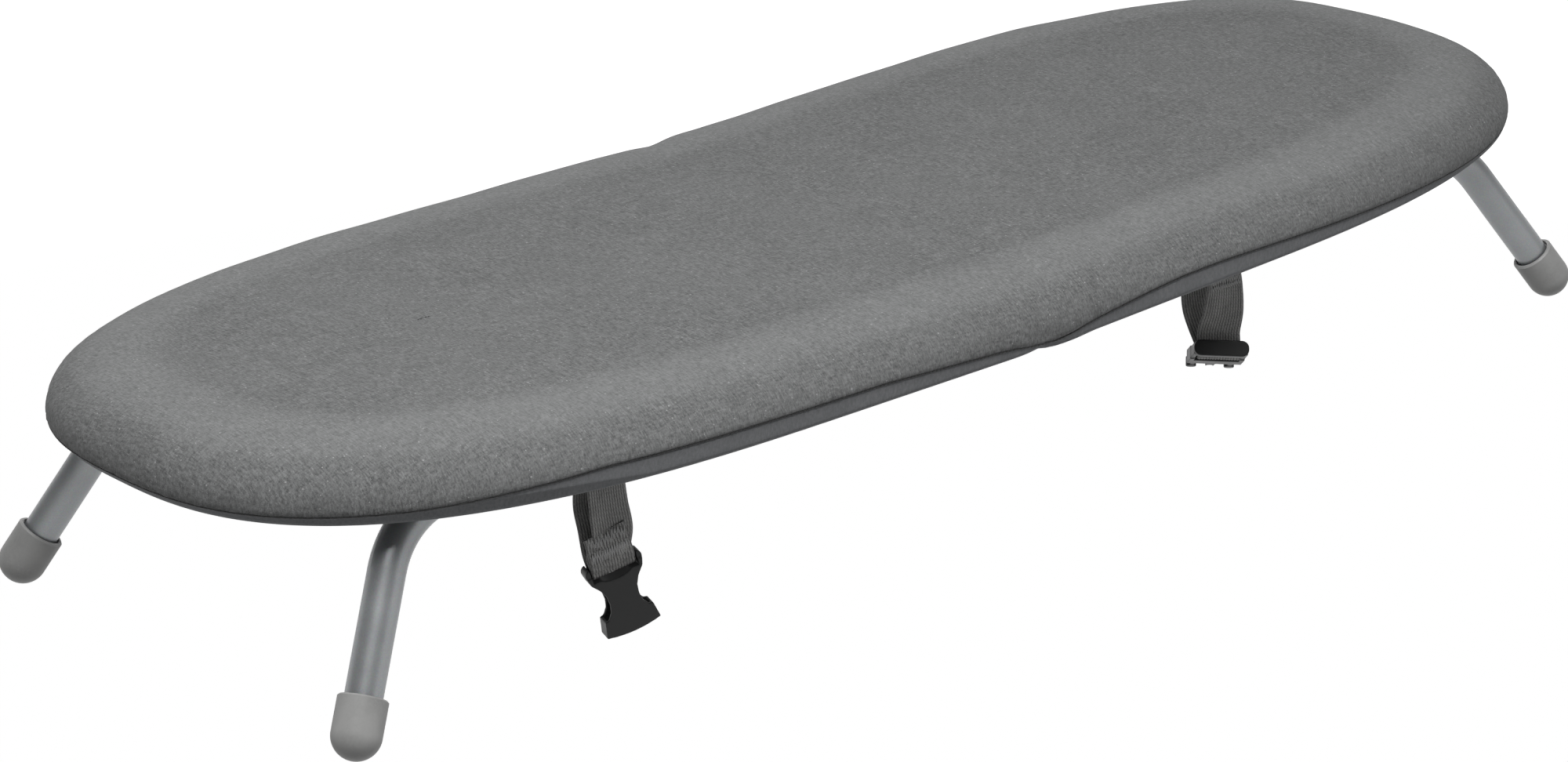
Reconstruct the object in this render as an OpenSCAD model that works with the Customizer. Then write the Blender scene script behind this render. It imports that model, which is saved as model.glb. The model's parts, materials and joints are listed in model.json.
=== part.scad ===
// Table-top ironing board that folds in half.
// Two steel trays carry a foam pad and a fabric cover each, and are hinged at the middle.
// Four bent tube legs turn in saddles under the trays. Two straps with a side-release
// buckle hold the folded board shut.
// +X runs along the board, +Y to the back, +Z up. The origin is on the table under the
// middle of the board.

/* [Board] */
// Overall length of the board
board_length = 800; // [780:1:830]
// Overall width of the board
board_width = 304; // [300:1:316]
// Length of each rounded end
end_length = 272; // [265:1:280]
// Fullness of the rounded ends, 2 is an ellipse
end_fullness = 2.7; // [2.6:0.1:3]
// Height of the padded crown above the seam
crown = 27; // [25:0.5:32]
// Horizontal reach of the rounded edge
edge_round = 44; // [36:1:50]
// Dip of each half towards the fold, in degrees
dip_angle = 1.1; // [0.5:0.1:1.5]

/* [Tray] */
// Thickness of the sheet steel
sheet_t = 1; // [0.8:0.1:1.2]
// Height of the top of the sheet above the fold axis
tray_top = 17; // [16.5:0.5:18]
// Height of the underside of the rim lip above the fold axis
lip_bottom = 3.2; // [3.2:0.1:3.6]
// Distance of the tray wall inside the seam outline
wall_inset = 7.2; // [7:0.1:8]
// Width of the rim lip
lip_w = 14.8; // [12:0.1:15]
// Diameter of the steam holes
steam_hole_d = 9; // [6:1:12]
// Spacing of the steam holes
steam_pitch = 45; // [40:1:50]

/* [Cover] */
// Thickness of the fabric on top of the pad
skin_t = 1.2; // [1:0.1:1.5]
// Height of the seam above the fold axis
seam_height = 5; // [5:0.1:5.5]
// Thickness of the hem and of the elastic
hem_t = 1; // [0.8:0.1:1]
// Distance of the hem's inner edge inside the seam outline
hem_reach = 18; // [16:1:19]
// Width of the elastic sewn to the hem
elastic_w = 6; // [4:1:6]
// Distance from the fold to the end of the hem
hem_end = 8; // [6:1:12]

/* [Legs] */
// Outer diameter of the leg tube
tube_d = 16; // [16:0.5:16.5]
// Wall thickness of the leg tube
tube_wall = 1; // [0.8:0.1:1.5]
// Bend radius at the knee, on the tube's centre line
bend_r = 45; // [38:1:46]
// Distance of the arm's axis from the board's centre line
arm_y = 93.7; // [92.5:0.1:94.5]
// Height of the arm's axis against the fold axis
arm_height = -0.7; // [-1:0.1:0]
// Distance of the arm's inner end from the fold
arm_end = 174.5; // [170:0.5:174.5]
// Distance of the knee from the fold
knee_x = 324.8; // [323:0.1:326]
// Reach of the foot beyond the knee, along the board
foot_out = 45.8; // [44:0.1:47]
// Reach of the foot beyond the arm, across the board
foot_splay = 27.8; // [26:0.1:28]
// Drop from the arm's axis to the centre of the foot
foot_drop = 77.1; // [75:0.1:79]
// Radius of the domed foot cap
cap_r = 10.6; // [10:0.1:11]
// Length of the straight skirt of the foot cap
cap_skirt = 15.4; // [12:0.1:18]
// Depth of the flat on the foot cap where it meets the table
foot_flat = 0.3; // [0.2:0.05:0.5]

/* [Saddles] */
// Distance of the outer saddle from the fold
outer_saddle_x = 283; // [282:0.5:284]
// Distance of the inner saddle from the fold
inner_saddle_x = 184; // [184:0.5:184.5]
// Length of a saddle along the arm
saddle_len = 18; // [16:1:18]
// Outer radius of a saddle round the arm
saddle_r = 11.2; // [11:0.1:12.5]
// Radial running clearance between arm and saddle
run_gap = 0.06; // [0.03:0.01:0.09]
// Angle that the stop lets each leg fold through
leg_travel = 102; // [90:1:102]

/* [Hinges] */
// Distance of each hinge's middle from the board's centre line
hinge_y = 104; // [98:1:106]
// Length of each hinge
hinge_len = 40; // [35:1:40]
// Radius of the hinge knuckles
knuckle_r = 3; // [2.8:0.1:3]
// Radius of the hinge pin
pin_r = 1.5; // [1.4:0.1:1.6]
// Reach of a hinge leaf from the fold
leaf_reach = 21; // [18:1:21]
// Thickness of a hinge leaf
leaf_t = 1.5; // [1.2:0.1:1.5]

/* [Straps] */
// Width of the webbing
strap_w = 20; // [18:0.5:20]
// Thickness of one layer of webbing
strap_t = 1.4; // [1.2:0.1:1.4]
// Distance of the straps in front of the board's centre line
strap_y = 121; // [120:0.5:122]
// Distance of the left strap from the fold
left_strap_x = 241; // [238:1:244]
// Distance of the right strap from the fold
right_strap_x = 130; // [120:1:140]
// Drop from the anchor bar to the bar of the female buckle
left_drop = 40.4; // [36:0.1:44]
// Sideways run of the left strap on the way down, towards the fold
left_slip = 4.3; // [0:0.1:5]
// Drop from the anchor bar to the bar of the male buckle
right_drop = 46.2; // [42:0.1:48]
// Bulge of the left strap's back layer
left_bulge = 6.5; // [4:0.5:7]
// Bulge of the right strap's front layer
front_bulge = 3; // [2:0.5:5]
// Bulge of the right strap's back layer
right_bulge = 11; // [8:0.5:12]

/* [Buckles] */
// Overall width across a buckle's ears
buckle_w = 25.8; // [25.6:0.2:26]
// Thickness of the female buckle
female_t = 8; // [8:0.1:8.4]
// Roll of the female buckle, with its right side up, in degrees
female_roll = 16; // [10:1:18]
// Turn of the female buckle about the vertical, in degrees
female_turn = 20; // [10:1:24]
// Swing of the male buckle inwards from its webbing, in degrees
male_tilt = 58; // [55:1:62]
// Roll of the male buckle, with its right side down, in degrees
male_roll = 5; // [0:1:8]
// Turn of the male buckle about the vertical, in degrees
male_turn = 40; // [30:1:45]
// Radius of the bar that the webbing passes round
bar_r = 2; // [1.8:0.1:2]

/* [Hidden] */
$fn = 48;
outline_steps = 20;  // points along each quarter of a rounded end
crown_steps = 5;     // layers that round the crown
band_steps = 12;     // points along a bulged layer of webbing
tiny = 0.01;
left = -1;
right = 1;
front = -1;
back = 1;
half_width = board_width / 2;
straight = board_length / 2 - end_length;
tray_gap = 0.8;      // from the fold to a tray's end wall
soft_gap = 1.2;      // from the fold to the pad and cover ends
tube_r = tube_d / 2;
sheet_bottom = tray_top - sheet_t;
lip_inset = wall_inset + lip_w;
drop_in_plane = sqrt(pow(foot_drop, 2) + pow(foot_splay, 2));
splay_angle = atan(foot_splay / foot_drop);
leg_lean = atan(foot_out / drop_in_plane);
knee_bend = 90 - leg_lean;
leg_length = sqrt(pow(foot_out, 2) + pow(drop_in_plane, 2));
knee_tangent = bend_r * tan(knee_bend / 2);
foot_x = knee_x + foot_out;
foot_height = arm_height - foot_drop;
fold_height = cap_r - foot_flat - foot_x * sin(dip_angle) - foot_height * cos(dip_angle);
cap_edge = 0.7;      // bevel round the foot cap's mouth
saddle_rivet_y = 17.5;
saddle_foot = [44, 3];
stop_len = 8;
stop_pin_x = inner_saddle_x + saddle_len / 2 + stop_len / 2;
stop_pin_r = 2;
stop_reach = 13;
stop_start = -20;    // direction of the stop pin with the leg down
stop_slack = 16;     // half the pin's width and its play, in degrees
rivet_r = 2.05;
rivet_hole_r = 2.1;
rivet_head = [3.5, 1.2];
hinge_rivet_x = 12;
hinge_rivet_y = 12;
knuckle_gap = 0.3;
anchor_height = -2;
anchor_plate = [44, 12, 1.5];
anchor_ear_t = 1.5;
anchor_ear_r = 2.9;
anchor_play = 0.4;   // kept clear round the ears where they pass the rim lip and the elastic
anchor_rivet_x = 17;
loop_bore = bar_r + 0.08;
loop_r = loop_bore + strap_t;
ear_r = 2.7;
ear_x = buckle_w / 2 - ear_r;
male_t = 6.5;
end_bar = [4.4, 7.6];  // length and thickness of the bar that the webbing passes behind
end_bar_z = 9.8;         // height of its middle above the bar that the webbing turns round
rail_w = 2.2;            // width of the rails between them
last_straight = 16;      // straight webbing above a buckle's bar
female_pose = [0, -female_roll, -female_turn];
male_pose = [male_tilt, male_roll, -male_turn];
left_bar = [left_slip, 0, -left_drop];
right_bar = [0, 0, -right_drop];
knuckle_len = hinge_len / 5;
bend_swell = 0.03;   // the bend's wall is this much fuller, so the lengths of tube fuse
tube_lap = 0.4;      // how far a straight length runs into the bend
// Half of the female outline, from the ear down past the waist to the mouth
female_side = [[12.7, -1], [11.8, -4.4], [8.9, -8], [7.1, -11.8], [6.7, -16], [7.4, -19.6],
    [9.3, -22.4], [11.1, -22.9], [12.4, -30.2]];

steel_grey = [0.72, 0.73, 0.74];
fabric_grey = [0.38, 0.39, 0.39];
foam_white = [0.86, 0.86, 0.82];
cap_grey = [0.62, 0.62, 0.60];
webbing_grey = [0.25, 0.25, 0.25];
buckle_black = [0.06, 0.06, 0.07];
moulded_grey = [0.35, 0.36, 0.37];

// ---- placing ----

// Moves one half from its own flat frame, where the fold axis is Y, to its dipped place
module in_half(side) {
    translate([0, 0, fold_height])
        rotate([0, -side * dip_angle, 0])
            children();
}

// The same for shapes drawn with +X pointing away from the fold
module outward(side) {
    in_half(side)
        mirror_if(side < 0, [1, 0, 0])
            children();
}

// The same for shapes drawn with +Y pointing away from the centre line as well
module corner(side, row) {
    outward(side)
        mirror_if(row < 0, [0, 1, 0])
            children();
}

module mirror_if(flip, plane) {
    if (flip) mirror(plane) children();
    else children();
}

// Points an extrusion along X, with its first axis on Y and its second on Z
module along_x() {
    rotate([90, 0, 90])
        children();
}

// Moves a shape to the axis of a leg's arm
module at_arm(x) {
    translate([x, arm_y, arm_height])
        children();
}

// ---- outline of one half ----

function end_point(t, inset) = [
    straight + (end_length - inset) * pow(cos(t), 2 / end_fullness),
    (half_width - inset) * sign(t) * pow(abs(sin(t)), 2 / end_fullness)
];

function half_outline(inset, gap) = concat(
    [[gap, -(half_width - inset)]],
    [for (i = [-outline_steps : outline_steps]) end_point(90 * i / outline_steps, inset)],
    [[gap, half_width - inset]]
);

// A flat slice of one half at a height
module slab(height, inset, gap, thick) {
    translate([0, 0, height])
        linear_extrude(thick)
            polygon(half_outline(inset, gap));
}

// The crowned body of one half, from the angle where the crown starts up to its top
module crowned(start, shrink, gap) {
    hull()
        for (i = [0 : crown_steps]) {
            k = start + (90 - start) * i / crown_steps;
            slab(seam_height + (crown - shrink) * sin(k) - tiny,
                shrink + edge_round * (1 - cos(k)), gap, tiny);
        }
}

// ---- board halves ----

module steam_holes() {
    for (i = [0 : 7])
        for (j = [-1 : 1])
            translate([steam_pitch * (i + 0.8), steam_pitch * (j + (i % 2) / 2 - 0.25), sheet_bottom - 1])
                cylinder(d = steam_hole_d, h = sheet_t + 2);
}

module rivet_hole(x, y, height) {
    translate([x, y, height - sheet_t])
        cylinder(r = rivet_hole_r, h = 3 * sheet_t);
}

module tray(side, strap_x) {
    color(steel_grey)
        outward(side)
            difference() {
                slab(lip_bottom, wall_inset, tray_gap, tray_top - lip_bottom);
                slab(lip_bottom + sheet_t, wall_inset + sheet_t, tray_gap + sheet_t,
                    sheet_bottom - lip_bottom - sheet_t);
                slab(lip_bottom - 1, lip_inset, tray_gap + lip_inset, sheet_t + 2);
                steam_holes();
                for (row = [front, back]) {
                    for (x = [outer_saddle_x, inner_saddle_x], s = [-1, 1])
                        rivet_hole(x, row * (arm_y + s * saddle_rivet_y), sheet_bottom);
                    for (s = [-1, 1])
                        rivet_hole(hinge_rivet_x, row * hinge_y + s * hinge_rivet_y, lip_bottom);
                }
                for (s = [-1, 1])
                    rivet_hole(strap_x + s * anchor_rivet_x, -strap_y, sheet_bottom);
                anchor_room(strap_x);
            }
}

module pad_shape(grow) {
    start = asin((tray_top + 0.1 - grow - seam_height) / (crown - skin_t));
    crowned(start, skin_t - grow, soft_gap - grow);
}

module pad(side) {
    color(foam_white)
        outward(side)
            pad_shape(0);
}

module cover(side) {
    color(fabric_grey)
        outward(side)
            difference() {
                crowned(0, 0, soft_gap);
                pad_shape(0.1);
                slab(seam_height - 1, wall_inset - 0.1, -1, tray_top + 1.2 - seam_height);
            }
}

module hem(side) {
    bottom = lip_bottom - hem_t;
    color(fabric_grey)
        outward(side)
            difference() {
                hull() {
                    slab(seam_height - 0.1, 0.2, hem_end, 0.05);
                    slab(bottom, 5.7, hem_end, 0.05);
                }
                slab(lip_bottom, wall_inset - 0.1, -1, seam_height);
                slab(bottom - 1, hem_reach, -1, 3);
            }
}

module hem_elastic(side, strap_x) {
    color([0.16, 0.16, 0.17])
        outward(side)
            difference() {
                slab(lip_bottom - hem_t, hem_reach + 0.05, hem_end, hem_t - 0.05);
                slab(lip_bottom - hem_t - 1, hem_reach + elastic_w, -1, 3);
                anchor_room(strap_x);
            }
}

// ---- hinges ----

function own_knuckles(side) = side < 0 ? [0, 2, 4] : [1, 3];

function other_knuckles(side) = own_knuckles(-side);

module knuckle(i, radius, spare) {
    translate([0, (i - 2.5) * knuckle_len + 0.1 - spare, 0])
        rotate([-90, 0, 0])
            cylinder(r = radius, h = knuckle_len - 0.2 + 2 * spare);
}

module hinge_leaf(side, row) {
    color(steel_grey)
        outward(side)
            translate([0, row * hinge_y, 0])
                difference() {
                    union() {
                        translate([0, -hinge_len / 2 + 0.1, lip_bottom - leaf_t])
                            cube([leaf_reach, hinge_len - 0.2, leaf_t]);
                        for (i = own_knuckles(side))
                            knuckle(i, knuckle_r, 0);
                    }
                    for (i = other_knuckles(side))
                        knuckle(i, knuckle_r + knuckle_gap + 0.2, knuckle_gap);
                    rotate([90, 0, 0])
                        cylinder(r = pin_r + run_gap, h = 2 * hinge_len, center = true);
                    for (s = [-1, 1])
                        translate([hinge_rivet_x, s * hinge_rivet_y, 0])
                            cylinder(r = rivet_hole_r, h = tray_top);
                }
}

module hinge_pin(row) {
    color(steel_grey)
        translate([0, row * hinge_y, fold_height])
            rotate([90, 0, 0])
                cylinder(r = pin_r, h = hinge_len + 1, center = true);
}

// A rivet whose head hangs below a plate and whose shank ends flush above the steel
module rivet(x, y, plate_bottom, steel_top) {
    translate([x, y, plate_bottom - rivet_head[1]])
        cylinder(r = rivet_head[0], h = rivet_head[1]);
    translate([x, y, plate_bottom - rivet_head[1]])
        cylinder(r = rivet_r, h = steel_top - plate_bottom + rivet_head[1]);
}

module hinge_rivets(side) {
    color(steel_grey)
        outward(side)
            for (row = [front, back], s = [-1, 1])
                rivet(hinge_rivet_x, row * hinge_y + s * hinge_rivet_y,
                    lip_bottom - leaf_t, lip_bottom + sheet_t);
}

// ---- legs ----

// Moves a shape to the knee, in the plane that holds the arm and the leg
module at_knee() {
    at_arm(knee_x)
        rotate([splay_angle, 0, 0])
            children();
}

// Points +Z from the knee towards the foot
module along_leg() {
    at_knee()
        rotate([0, 180 - leg_lean, 0])
            children();
}

// A straight length of leg tube along +Z
module straight_tube(length) {
    difference() {
        cylinder(r = tube_r, h = length);
        translate([0, 0, -1])
            cylinder(r = tube_r - tube_wall, h = length + 2);
    }
}

module bent_tube() {
    rotate_extrude(angle = knee_bend)
        translate([bend_r, 0])
            difference() {
                circle(tube_r + bend_swell);
                circle(tube_r - tube_wall - bend_swell);
            }
}

module leg_tube() {
    at_knee()
        translate([arm_end - knee_x, 0, 0])
            rotate([0, 90, 0])
                straight_tube(knee_x - knee_tangent - arm_end + tube_lap);
    at_knee()
        translate([-knee_tangent, 0, -bend_r])
            rotate([90, 0, 0])
                rotate([0, 0, 90 - knee_bend])
                    bent_tube();
    along_leg()
        translate([0, 0, knee_tangent - tube_lap])
            straight_tube(leg_length - knee_tangent - 1 + tube_lap);
}

module leg(side, row) {
    color(steel_grey)
        corner(side, row)
            difference() {
                leg_tube();
                stop_pin_shape(stop_pin_r + 0.02);
            }
}

module foot_cap(side, row) {
    color(cap_grey)
        difference() {
            corner(side, row)
                along_leg()
                    translate([0, 0, leg_length])
                        difference() {
                            union() {
                                sphere(r = cap_r);
                                translate([0, 0, cap_edge - cap_skirt])
                                    cylinder(r = cap_r, h = cap_skirt - cap_edge);
                                translate([0, 0, -cap_skirt])
                                    cylinder(r1 = cap_r - cap_edge, r2 = cap_r, h = cap_edge);
                            }
                            translate([0, 0, -cap_skirt - 1])
                                cylinder(r = tube_r + 0.05, h = cap_skirt + 0.1);
                            translate([0, 0, -cap_skirt - 1])
                                cylinder(r = tube_r + 1, h = 3);
                        }
            translate([-board_length, -board_width, -2 * cap_r])
                cube([2 * board_length, 2 * board_width, 2 * cap_r]);
        }
}

module end_plug(side, row) {
    stem = 10;
    head = 3;
    color(cap_grey)
        corner(side, row)
            at_arm(arm_end)
                rotate([0, 90, 0]) {
                    translate([0, 0, -head])
                        cylinder(r = tube_r + 1.5, h = head);
                    cylinder(r = tube_r - tube_wall - 0.02, h = stem);
                }
}

// With the leg down the pin points inwards from the arm and slightly down
module stop_pin_shape(radius) {
    foot_of_pin = 5;
    at_arm(stop_pin_x)
        rotate([180 - stop_start, 0, 0])
            rotate([-90, 0, 0])
                translate([0, 0, foot_of_pin])
                    cylinder(r = radius, h = stop_reach - foot_of_pin);
}

module stop_pin(side, row) {
    color(steel_grey)
        corner(side, row)
            stop_pin_shape(stop_pin_r);
}

// ---- saddles ----

module saddle_profile() {
    top = sheet_bottom - arm_height;
    difference() {
        union() {
            circle(saddle_r);
            translate([-saddle_r, 0])
                square([2 * saddle_r, top]);
            translate([-saddle_foot[0] / 2, top - saddle_foot[1]])
                square(saddle_foot);
        }
        circle(tube_r + run_gap);
    }
}

module saddle(side, row, x) {
    color(moulded_grey)
        corner(side, row)
            difference() {
                at_arm(x - saddle_len / 2)
                    along_x()
                        linear_extrude(saddle_len)
                            saddle_profile();
                for (s = [-1, 1])
                    translate([x, arm_y + s * saddle_rivet_y, sheet_bottom - 10])
                        cylinder(r = rivet_hole_r, h = 20);
            }
}

// Ring beside the inner saddle, open where the stop pin travels
module stop_ring() {
    from = stop_start - stop_slack;
    to = stop_start + leg_travel + stop_slack;
    far = 3 * stop_reach;
    difference() {
        circle(stop_reach + 1);
        circle(tube_r + 0.3);
        polygon(concat([[0, 0]],
            [for (i = [0 : 6]) let (a = 180 - from - (to - from) * i / 6) far * [cos(a), sin(a)]]));
    }
}

module inner_saddle(side, row) {
    saddle(side, row, inner_saddle_x);
    color(moulded_grey)
        corner(side, row)
            at_arm(inner_saddle_x + saddle_len / 2 - tiny)
                along_x()
                    linear_extrude(stop_len + tiny)
                        stop_ring();
}

module saddle_rivets(side) {
    color(steel_grey)
        outward(side)
            for (row = [front, back], x = [outer_saddle_x, inner_saddle_x], s = [-1, 1])
                rivet(x, row * (arm_y + s * saddle_rivet_y), sheet_bottom - saddle_foot[1], tray_top);
}

// ---- straps ----

// Moves a shape to the anchor bar of a strap, without mirroring it
module at_anchor(side, strap_x) {
    in_half(side)
        translate([side * strap_x, -strap_y, anchor_height])
            children();
}

module strap_anchor(side, strap_x) {
    rise = sheet_bottom - anchor_height;
    color(steel_grey)
        at_anchor(side, strap_x)
            difference() {
                union() {
                    translate([-anchor_plate[0] / 2, -anchor_plate[1] / 2, rise - anchor_plate[2]])
                        cube(anchor_plate);
                    for (s = [-1, 1])
                        translate([s * (strap_w / 2 + 0.5 + anchor_ear_t / 2), 0, 0])
                            anchor_ear(rise - tiny);
                    rotate([0, 90, 0])
                        cylinder(r = bar_r, h = strap_w + 2, center = true);
                }
                for (s = [-1, 1])
                    translate([s * anchor_rivet_x, 0, 0])
                        cylinder(r = rivet_hole_r, h = 2 * rise);
            }
}

module anchor_ear(rise) {
    translate([-anchor_ear_t / 2, -anchor_ear_r, 0])
        cube([anchor_ear_t, 2 * anchor_ear_r, rise]);
    rotate([0, 90, 0])
        cylinder(r = anchor_ear_r, h = anchor_ear_t, center = true);
}

// The room that an anchor's ears need in the rim
module anchor_room(strap_x) {
    room = [strap_w / 2 + 0.5 + anchor_ear_t + anchor_play, anchor_ear_r + anchor_play];
    translate([strap_x - room[0], -strap_y - room[1], -1])
        cube([2 * room[0], 2 * room[1], 8]);
}

module anchor_rivets(side, strap_x) {
    color(steel_grey)
        in_half(side)
            for (s = [-1, 1])
                rivet(side * strap_x + s * anchor_rivet_x, -strap_y,
                    sheet_bottom - anchor_plate[2], tray_top);
}

// A strip of webbing hung from the anchor, bulging by the given amount
module bulged_layer(drop, bulge, steps) {
    bow = [for (i = [0 : steps]) [bulge * sin(180 * i / steps), -drop * i / steps]];
    polygon(concat(
        [for (p = bow) p + [-strap_t / 2, 0]],
        [for (i = [steps : -1 : 0]) bow[i] + [strap_t / 2, 0]]
    ));
}

// The end of a strap, sewn round a bar
module web_loop(length) {
    rotate([0, 90, 0])
        cylinder(r = loop_r, h = strap_w, center = true);
    translate([-strap_w / 2, -strap_t, 0])
        cube([strap_w, 2 * strap_t, length]);
}

module bar_bore() {
    rotate([0, 90, 0])
        cylinder(r = loop_bore, h = 3 * strap_w, center = true);
}

// A strap hung from its anchor bar as a loop, and sewn round a buckle's bar that is turned
module strap_web(bar, turned, fore, aft) {
    drop = norm(bar);
    difference() {
        union() {
            mirror([0, 0, 1])
                web_loop(6);
            rotate([0, -atan(bar[0] / drop), 0])
                translate([-strap_w / 2, 0, -4])
                    along_x()
                        linear_extrude(strap_w) {
                            bulged_layer(drop - last_straight, -fore, band_steps);
                            bulged_layer(drop - last_straight, aft, band_steps);
                        }
            translate(bar)
                rotate(turned)
                    web_loop(last_straight);
        }
        bar_bore();
        translate(bar)
            rotate(turned)
                bar_bore();
    }
}

module left_webbing() {
    color(webbing_grey)
        at_anchor(left, left_strap_x)
            strap_web(left_bar, female_pose, 1, left_bulge);
}

module right_webbing() {
    color(webbing_grey)
        at_anchor(right, right_strap_x)
            strap_web(right_bar, [0, male_pose[1], male_pose[2]], front_bulge, right_bulge);
}

// ---- buckles ----

// Stands a buckle's outline upright, its thickness centred on the bar
module upright(thick) {
    rotate([90, 0, 0])
        linear_extrude(thick, center = true)
            children();
}

// The room for the webbing beside a bar, down to a depth below it
module web_room(depth) {
    translate([-strap_w / 2 - 0.5, -depth])
        square([strap_w + 1, depth + 20]);
}

// The bar and the two ears that hold it
module bar_and_ears(thick) {
    rotate([0, 90, 0])
        cylinder(r = bar_r, h = 2 * ear_x + 1, center = true);
    upright(thick)
        difference() {
            for (s = [-1, 1])
                translate([s * ear_x, 0])
                    circle(ear_r);
            web_room(20);
        }
}

module female_outline() {
    mouth_r = 50;
    rise = sqrt(pow(mouth_r, 2) - pow(female_side[8][0], 2));
    difference() {
        union() {
            polygon(concat(female_side, [for (i = [8 : -1 : 0]) [-female_side[i][0], female_side[i][1]]]));
            intersection() {
                translate([0, female_side[8][1] + rise])
                    circle(mouth_r, $fn = 180);
                translate([-female_side[8][0], female_side[8][1] - 10])
                    square([2 * female_side[8][0], 10 + tiny]);
            }
        }
        web_room(3.9);
        intersection() {
            translate([0, 8.4])
                circle(14);
            web_room(20);
        }
    }
}

module female_buckle() {
    socket = [19.8, 5.4, 22.4];
    color(buckle_black)
        at_anchor(left, left_strap_x)
            translate(left_bar)
                rotate(female_pose)
                    difference() {
                        union() {
                            bar_and_ears(female_t - 1);
                            upright(female_t)
                                female_outline();
                        }
                        translate([-socket[0] / 2, -socket[1] / 2, -33.6])
                            cube(socket);
                    }
}

// A side prong with a rounded knob at its end
module prong(s) {
    upright(4)
        polygon([[s * 11, -12], [s * 7.4, -12], [s * 7.9, -24.5], [s * 9.9, -24.5]]);
    translate([s * 9, 0, -25.8])
        rotate([90, 0, 0])
            cylinder(r = 2.5, h = 4.8, center = true);
}

// The rounded bar at the end of the male half, and the rails that carry it
module end_frame() {
    round_r = end_bar[1] / 2 - 0.4;
    translate([0, 0, end_bar_z - end_bar[0] / 2])
        linear_extrude(end_bar[0]) {
            square([buckle_w, end_bar[1] - 2 * round_r], center = true);
            square([buckle_w - 2 * round_r, end_bar[1]], center = true);
            for (x = [-1, 1], y = [-1, 1])
                translate([x * (buckle_w / 2 - round_r), y * (end_bar[1] / 2 - round_r)])
                    circle(round_r);
        }
    upright(male_t - 1)
        for (s = [-1, 1])
            translate([s * (strap_w / 2 + 0.5 + rail_w / 2), end_bar_z / 2])
                square([rail_w, end_bar_z], center = true);
}

module male_buckle() {
    color(buckle_black)
        at_anchor(right, right_strap_x)
            translate(right_bar)
                rotate(male_pose) {
                    bar_and_ears(male_t - 1);
                    end_frame();
                    upright(male_t)
                        difference() {
                            translate([-buckle_w / 2, -13.5])
                                square([buckle_w, 12]);
                            web_room(5.6);
                        }
                    for (s = [-1, 1])
                        prong(s);
                    upright(3.2)
                        polygon([[-2.8, -13], [2.8, -13], [1.9, -29], [0.9, -26], [0, -25.5], [-0.9, -26],
                            [-1.9, -29]]);
                }
}

// ---- parts ----

tray(left, left_strap_x);  // left_tray
tray(right, right_strap_x);  // right_tray
pad(left);  // left_pad
pad(right);  // right_pad
cover(left);  // left_cover
cover(right);  // right_cover
hem(left);  // left_hem
hem(right);  // right_hem
hem_elastic(left, left_strap_x);  // left_hem_elastic
hem_elastic(right, right_strap_x);  // right_hem_elastic
hinge_leaf(left, front);  // front_hinge_left_leaf
hinge_leaf(right, front);  // front_hinge_right_leaf
hinge_pin(front);  // front_hinge_pin
hinge_leaf(left, back);  // back_hinge_left_leaf
hinge_leaf(right, back);  // back_hinge_right_leaf
hinge_pin(back);  // back_hinge_pin
hinge_rivets(left);  // left_hinge_rivets
hinge_rivets(right);  // right_hinge_rivets
leg(left, front);  // front_left_leg
leg(right, front);  // front_right_leg
leg(left, back);  // back_left_leg
leg(right, back);  // back_right_leg
foot_cap(left, front);  // front_left_foot_cap
foot_cap(right, front);  // front_right_foot_cap
foot_cap(left, back);  // back_left_foot_cap
foot_cap(right, back);  // back_right_foot_cap
end_plug(left, front);  // front_left_end_plug
end_plug(right, front);  // front_right_end_plug
end_plug(left, back);  // back_left_end_plug
end_plug(right, back);  // back_right_end_plug
stop_pin(left, front);  // front_left_stop_pin
stop_pin(right, front);  // front_right_stop_pin
stop_pin(left, back);  // back_left_stop_pin
stop_pin(right, back);  // back_right_stop_pin
saddle(left, front, outer_saddle_x);  // front_left_outer_saddle
saddle(right, front, outer_saddle_x);  // front_right_outer_saddle
saddle(left, back, outer_saddle_x);  // back_left_outer_saddle
saddle(right, back, outer_saddle_x);  // back_right_outer_saddle
inner_saddle(left, front);  // front_left_inner_saddle
inner_saddle(right, front);  // front_right_inner_saddle
inner_saddle(left, back);  // back_left_inner_saddle
inner_saddle(right, back);  // back_right_inner_saddle
saddle_rivets(left);  // left_saddle_rivets
saddle_rivets(right);  // right_saddle_rivets
strap_anchor(left, left_strap_x);  // left_strap_anchor
strap_anchor(right, right_strap_x);  // right_strap_anchor
anchor_rivets(left, left_strap_x);  // left_anchor_rivets
anchor_rivets(right, right_strap_x);  // right_anchor_rivets
left_webbing();
right_webbing();
female_buckle();
male_buckle();
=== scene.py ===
"""Looks of a folding table-top ironing board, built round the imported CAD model.

Sizes are millimetres unless a name ends in _m or a comment says metres. Meshes are made in metres.
A point on the board is (x, y, h): x along the board, y across it, h above the fold axis.
"""

import json
import math
import random

import bmesh
import bpy
import numpy as np
from mathutils import Matrix, Vector


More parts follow.
